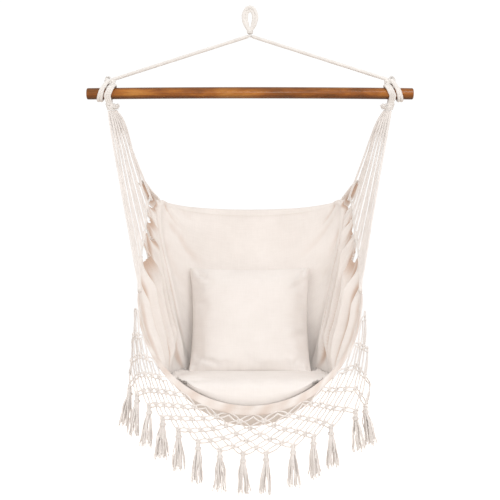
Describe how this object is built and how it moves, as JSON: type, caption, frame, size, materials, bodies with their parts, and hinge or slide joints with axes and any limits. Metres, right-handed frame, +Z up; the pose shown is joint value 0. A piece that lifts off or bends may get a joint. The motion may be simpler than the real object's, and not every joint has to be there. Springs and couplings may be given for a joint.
{
  "type": "hammock chair",
  "caption": "Hanging hammock chair: cotton sling on fanned cords below a wooden spreader bar, with a fringed net, a seat cushion and a back pillow.",
  "frame": {"origin": "where the hook bears, at the inner top of the hanging eye, in the middle of the rope", "axes": "+Z up, +X to the right of someone who faces the front of the chair, +Y to the back; the sitter faces -Y"},
  "size_m": [1, 0.6595, 1.4155],
  "materials": {
    "white_rope": "matte",
    "varnished_wood": "satin",
    "canvas": "matte",
    "cushion_cloth": "matte",
    "cotton_cord": "matte",
    "fibre_filling": "matte",
    "zip_tape": "matte"
  },
  "bodies": {
    "eye": {"hanging_eye": "white_rope"},
    "throat": {"throat_knot": "white_rope"},
    "crossing": {"crossing_turn": "white_rope"},
    "yoke": {"spreader_bar": "varnished_wood", "bridle_leg_left": "white_rope", "bridle_leg_right": "white_rope"},
    "sling": {"clew_loop_left": "white_rope", "clew_knot_left": "white_rope", "edge_rope_left": "white_rope", "cord_left_01": "cotton_cord", "cord_left_02": "cotton_cord", "cord_left_03": "cotton_cord", "cord_left_04": "cotton_cord", "cord_left_05": "cotton_cord", "cord_left_06": "cotton_cord", "cord_left_07": "cotton_cord", "cord_left_08": "cotton_cord", "cord_left_09": "cotton_cord", "cord_left_10": "cotton_cord", "cord_left_11": "cotton_cord", "cord_left_12": "cotton_cord", "clew_loop_right": "white_rope", "clew_knot_right": "white_rope", "edge_rope_right": "white_rope", "cord_right_01": "cotton_cord", "cord_right_02": "cotton_cord", "cord_right_03": "cotton_cord", "cord_right_04": "cotton_cord", "cord_right_05": "cotton_cord", "cord_right_06": "cotton_cord", "cord_right_07": "cotton_cord", "cord_right_08": "cotton_cord", "cord_right_09": "cotton_cord", "cord_right_10": "cotton_cord", "cord_right_11": "cotton_cord", "cord_right_12": "cotton_cord", "sling_cloth": "canvas", "front_hem": "canvas", "knotted_net": "cotton_cord"},
    "seat_cushion": {"seat_cushion_cover": "cushion_cloth", "seat_cushion_filling": "fibre_filling", "seat_cushion_zip": "zip_tape"},
    "back_pillow": {"back_pillow_cover": "cushion_cloth", "back_pillow_filling": "fibre_filling", "back_pillow_zip": "zip_tape"},
    "tassel_01": {"tassel_01": "cotton_cord"},
    "tassel_02": {"tassel_02": "cotton_cord"},
    "tassel_03": {"tassel_03": "cotton_cord"},
    "tassel_04": {"tassel_04": "cotton_cord"},
    "tassel_05": {"tassel_05": "cotton_cord"},
    "tassel_06": {"tassel_06": "cotton_cord"},
    "tassel_07": {"tassel_07": "cotton_cord"},
    "tassel_08": {"tassel_08": "cotton_cord"},
    "tassel_09": {"tassel_09": "cotton_cord"},
    "tassel_10": {"tassel_10": "cotton_cord"},
    "tassel_11": {"tassel_11": "cotton_cord"},
    "tassel_12": {"tassel_12": "cotton_cord"},
    "tassel_13": {"tassel_13": "cotton_cord"},
    "tassel_14": {"tassel_14": "cotton_cord"}
  },
  "joints": [
    {"name": "swivel", "type": "hinge", "parent": "eye", "child": "throat", "pos_m": [0, 0, -0.0655], "axis": [0, 0, 1], "range_deg": [-90, 90]},
    {"name": "sway", "type": "hinge", "parent": "throat", "child": "crossing", "pos_m": [0, 0, -0.0761], "axis": [0, 1, 0], "range_deg": [-15, 15]},
    {"name": "swing", "type": "hinge", "parent": "crossing", "child": "yoke", "pos_m": [0, 0, -0.0761], "axis": [1, 0, 0], "range_deg": [-30, 30]},
    {"name": "tilt", "type": "hinge", "parent": "yoke", "child": "sling", "pos_m": [0, 0, -0.252], "axis": [1, 0, 0], "range_deg": [-15, 15]},
    {"name": "pillow_lift_off", "type": "slide", "parent": "sling", "child": "back_pillow", "axis": [0, -0.342, 0.9397], "range_m": [0, 0.42]},
    {"name": "seat_lift_off", "type": "slide", "parent": "sling", "child": "seat_cushion", "axis": [0, -0.788, 0.6157], "range_m": [0, 0.5]},
    {"name": "tassel_01_swing", "type": "hinge", "parent": "sling", "child": "tassel_01", "pos_m": [-0.34081, -0.22365, -1.12709], "axis": [0.6104, -0.7921, 0], "range_deg": [-25, 25]},
    {"name": "tassel_02_swing", "type": "hinge", "parent": "sling", "child": "tassel_02", "pos_m": [-0.3159, -0.25597, -1.14197], "axis": [0.7283, -0.6853, 0], "range_deg": [-25, 25]},
    {"name": "tassel_03_swing", "type": "hinge", "parent": "sling", "child": "tassel_03", "pos_m": [-0.27888, -0.28193, -1.16931], "axis": [0.8588, -0.5122, 0], "range_deg": [-25, 25]},
    {"name": "tassel_04_swing", "type": "hinge", "parent": "sling", "child": "tassel_04", "pos_m": [-0.24012, -0.30117, -1.19845], "axis": [0.9278, -0.3732, 0], "range_deg": [-25, 25]},
    {"name": "tassel_05_swing", "type": "hinge", "parent": "sling", "child": "tassel_05", "pos_m": [-0.19514, -0.31561, -1.22936], "axis": [0.9724, -0.2333, 0], "range_deg": [-25, 25]},
    {"name": "tassel_06_swing", "type": "hinge", "parent": "sling", "child": "tassel_06", "pos_m": [-0.14117, -0.32491, -1.25953], "axis": [0.9939, -0.1098, 0], "range_deg": [-25, 25]},
    {"name": "tassel_07_swing", "type": "hinge", "parent": "sling", "child": "tassel_07", "pos_m": [-0.08235, -0.32807, -1.28185], "axis": [0.9999, -0.0123, 0], "range_deg": [-25, 25]},
    {"name": "tassel_08_swing", "type": "hinge", "parent": "sling", "child": "tassel_08", "pos_m": [-0.01903, -0.32641, -1.2927], "axis": [1, 0.002, 0], "range_deg": [-25, 25]},
    {"name": "tassel_09_swing", "type": "hinge", "parent": "sling", "child": "tassel_09", "pos_m": [0.04394, -0.32782, -1.29019], "axis": [0.9995, 0.0318, 0], "range_deg": [-25, 25]},
    {"name": "tassel_10_swing", "type": "hinge", "parent": "sling", "child": "tassel_10", "pos_m": [0.11799, -0.32205, -1.27201], "axis": [0.9913, 0.1313, 0], "range_deg": [-25, 25]},
    {"name": "tassel_11_swing", "type": "hinge", "parent": "sling", "child": "tassel_11", "pos_m": [0.17404, -0.31059, -1.24938], "axis": [0.9663, 0.2574, 0], "range_deg": [-25, 25]},
    {"name": "tassel_12_swing", "type": "hinge", "parent": "sling", "child": "tassel_12", "pos_m": [0.22317, -0.29403, -1.22525], "axis": [0.9336, 0.3583, 0], "range_deg": [-25, 25]},
    {"name": "tassel_13_swing", "type": "hinge", "parent": "sling", "child": "tassel_13", "pos_m": [0.2941, -0.26451, -1.18855], "axis": [0.8702, 0.4927, 0], "range_deg": [-25, 25]},
    {"name": "tassel_14_swing", "type": "hinge", "parent": "sling", "child": "tassel_14", "pos_m": [0.32524, -0.23625, -1.17485], "axis": [0.7405, 0.672, 0], "range_deg": [-25, 25]}
  ]
}
